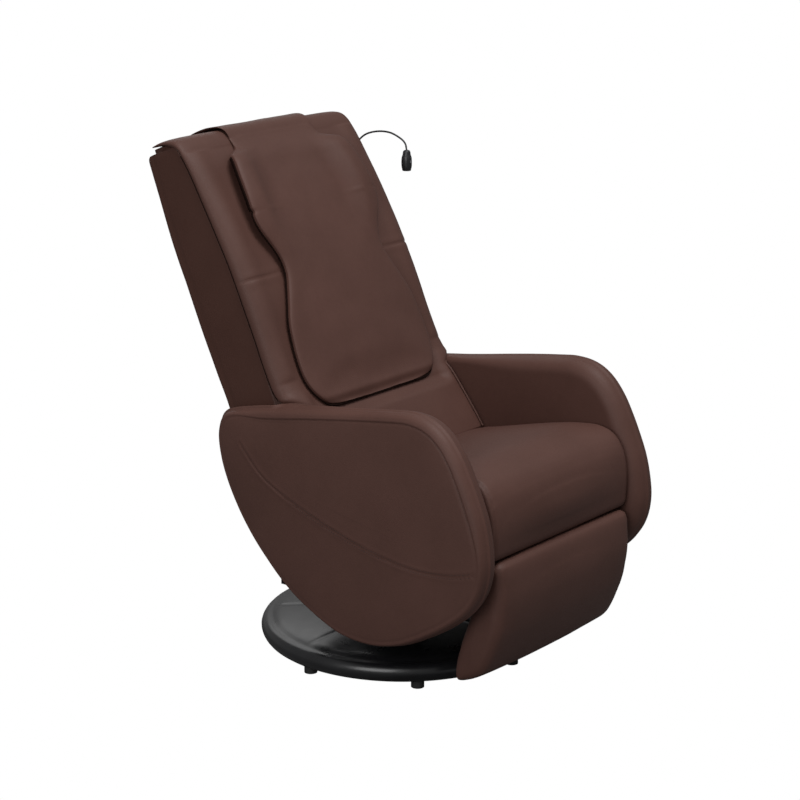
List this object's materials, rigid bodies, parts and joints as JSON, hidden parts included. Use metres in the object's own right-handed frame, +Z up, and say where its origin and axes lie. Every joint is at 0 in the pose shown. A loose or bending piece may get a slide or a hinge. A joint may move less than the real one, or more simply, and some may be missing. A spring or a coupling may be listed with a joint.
{
  "type": "massage chair",
  "caption": "Domestic reclining massage chair on a round swivel base, with a hanging leg rest, a flip-over back pad, a rolling kneading carriage in the back and a gooseneck lamp.",
  "frame": {"origin": "on the floor under the swivel axis, in the plane of the foot glides' undersides", "axes": "+Z up, the chair faces -Y, +X to the right seen along +Y from the front"},
  "size_m": [0.63, 0.9576, 1.1107],
  "materials": {
    "leather": "soft grain leather",
    "leather_side": "darker side leather",
    "base_gloss": "gloss",
    "black_plastic": "matte",
    "grey_plastic": "matte",
    "steel": "brushed",
    "black_steel": "satin",
    "zinc": "plated",
    "wood": "plain plywood",
    "rubber": "matte",
    "roller": "matte",
    "lens": "frosted"
  },
  "bodies": {
    "base": {"base_cover": "base_gloss", "base_plate": "black_steel", "foot_glides": "rubber", "base_column": "black_steel", "column_screws": "zinc", "swivel_race_lower": "zinc", "swivel_balls": "zinc"},
    "seat": {"swivel_race_upper": "zinc", "swivel_plate": "black_steel", "lower_beam_front": "black_steel", "lower_beam_rear": "black_steel", "seat_cross_tube_front": "black_steel", "seat_cross_tube_rear": "black_steel", "seat_board": "wood", "seat_cushion": "leather", "left_arm_board": "wood", "left_arm_outer_pad": "leather", "left_arm_inner_pad": "leather", "right_arm_board": "wood", "right_arm_outer_pad": "leather", "right_arm_inner_pad": "leather", "back_hinge_brackets": "black_steel", "hinge_pins": "zinc", "legrest_hinge_brackets": "black_steel", "recline_actuator": "black_plastic", "rear_lower_cover": "black_plastic", "power_inlet": "black_plastic", "control_box": "grey_plastic"},
    "power_switch": {"power_switch": "rubber"},
    "recline_rod": {"recline_rod": "steel"},
    "legrest": {"legrest_pad": "leather", "legrest_frame": "black_steel"},
    "backrest": {"back_shell": "leather_side", "back_cushion": "leather", "back_frame_left": "black_steel", "back_frame_right": "black_steel", "back_crossbars": "black_steel", "guide_rails": "steel", "recline_lever": "black_steel", "lift_motor": "black_plastic", "pad_strap": "leather", "lamp_socket": "black_plastic"},
    "lead_screw": {"lead_screw": "steel"},
    "carriage": {"carriage_plate": "steel", "guide_bushes": "grey_plastic", "lead_screw_nut": "grey_plastic", "kneading_motor": "black_plastic", "kneading_gearbox": "grey_plastic"},
    "kneading_shaft": {"kneading_shaft": "steel"},
    "massage_arm_left": {"massage_arm_left": "black_plastic"},
    "massage_arm_right": {"massage_arm_right": "black_plastic"},
    "roller_left_lower": {"roller_left_lower": "roller"},
    "roller_left_upper": {"roller_left_upper": "roller"},
    "roller_right_lower": {"roller_right_lower": "roller"},
    "roller_right_upper": {"roller_right_upper": "roller"},
    "back_pad": {"back_pad": "leather"},
    "lamp_stem": {"lamp_stem": "black_plastic"},
    "lamp_head": {"lamp_head": "black_plastic", "lamp_lens": "lens"},
    "lamp_button": {"lamp_button": "grey_plastic"}
  },
  "joints": [
    {"name": "chair_swivel", "type": "hinge", "parent": "base", "child": "seat", "pos_m": [0, 0, 0.161], "axis": [0, 0, 1], "continuous": true},
    {"name": "backrest_recline", "type": "hinge", "parent": "seat", "child": "backrest", "pos_m": [0, 0.11, 0.4], "axis": [-1, 0, 0], "range_deg": [0, 35]},
    {"name": "recline_rod_slide", "type": "slide", "parent": "seat", "child": "recline_rod", "axis": [0, -1, 0], "range_m": [0, 0.04919]},
    {"name": "legrest_raise", "type": "hinge", "parent": "seat", "child": "legrest", "pos_m": [0, -0.424, 0.317], "axis": [-1, 0, 0], "range_deg": [0, 80]},
    {"name": "carriage_lift", "type": "slide", "parent": "backrest", "child": "carriage", "axis": [0, 0.3859, 0.9225], "range_m": [-0.12, 0.18]},
    {"name": "lead_screw_turn", "type": "hinge", "parent": "backrest", "child": "lead_screw", "pos_m": [0, 0.30693, 0.70841], "axis": [0, 0.3859, 0.9225], "range_deg": [-2170, 3250]},
    {"name": "kneading_turn", "type": "hinge", "parent": "carriage", "child": "kneading_shaft", "pos_m": [0, 0.25862, 0.70694], "axis": [1, 0, 0], "continuous": true},
    {"name": "massage_arm_left_rock", "type": "hinge", "parent": "carriage", "child": "massage_arm_left", "pos_m": [-0.06, 0.25862, 0.70694], "axis": [1, 0, 0], "range_deg": [-6, 6]},
    {"name": "roller_left_lower_spin", "type": "hinge", "parent": "massage_arm_left", "child": "roller_left_lower", "pos_m": [-0.078, 0.22163, 0.65737], "axis": [1, 0, 0], "continuous": true},
    {"name": "roller_left_upper_spin", "type": "hinge", "parent": "massage_arm_left", "child": "roller_left_upper", "pos_m": [-0.078, 0.26793, 0.76808], "axis": [1, 0, 0], "continuous": true},
    {"name": "massage_arm_right_rock", "type": "hinge", "parent": "carriage", "child": "massage_arm_right", "pos_m": [0.06, 0.25862, 0.70694], "axis": [1, 0, 0], "range_deg": [-6, 6]},
    {"name": "roller_right_lower_spin", "type": "hinge", "parent": "massage_arm_right", "child": "roller_right_lower", "pos_m": [0.078, 0.22163, 0.65737], "axis": [1, 0, 0], "continuous": true},
    {"name": "roller_right_upper_spin", "type": "hinge", "parent": "massage_arm_right", "child": "roller_right_upper", "pos_m": [0.078, 0.26793, 0.76808], "axis": [1, 0, 0], "continuous": true},
    {"name": "back_pad_flip", "type": "hinge", "parent": "backrest", "child": "back_pad", "pos_m": [0, 0.37108, 1.0924], "axis": [-1, 0, 0], "range_deg": [0, 120]},
    {"name": "lamp_stem_swing", "type": "hinge", "parent": "backrest", "child": "lamp_stem", "pos_m": [0.27, 0.38, 1], "axis": [1, 0, 0], "range_deg": [-40, 60]},
    {"name": "lamp_head_tilt", "type": "hinge", "parent": "lamp_stem", "child": "lamp_head", "pos_m": [0.294, 0.226, 1.02], "axis": [1, 0, 0], "range_deg": [-20, 20]},
    {"name": "lamp_button_press", "type": "slide", "parent": "lamp_head", "child": "lamp_button", "axis": [0, 1, 0], "range_m": [0, 0.0015], "stiffness_N_per_m": 600},
    {"name": "power_switch_rock", "type": "hinge", "parent": "seat", "child": "power_switch", "pos_m": [-0.048, 0.13647, 0.27903], "axis": [1, 0, 0], "range_deg": [-8, 8]}
  ],
  "couplings": [
    {"joint": "recline_rod_slide", "follows": "backrest_recline", "m_per_rad": 0.080517},
    {"joint": "lead_screw_turn", "follows": "carriage_lift", "rad_per_m": 314.16}
  ]
}
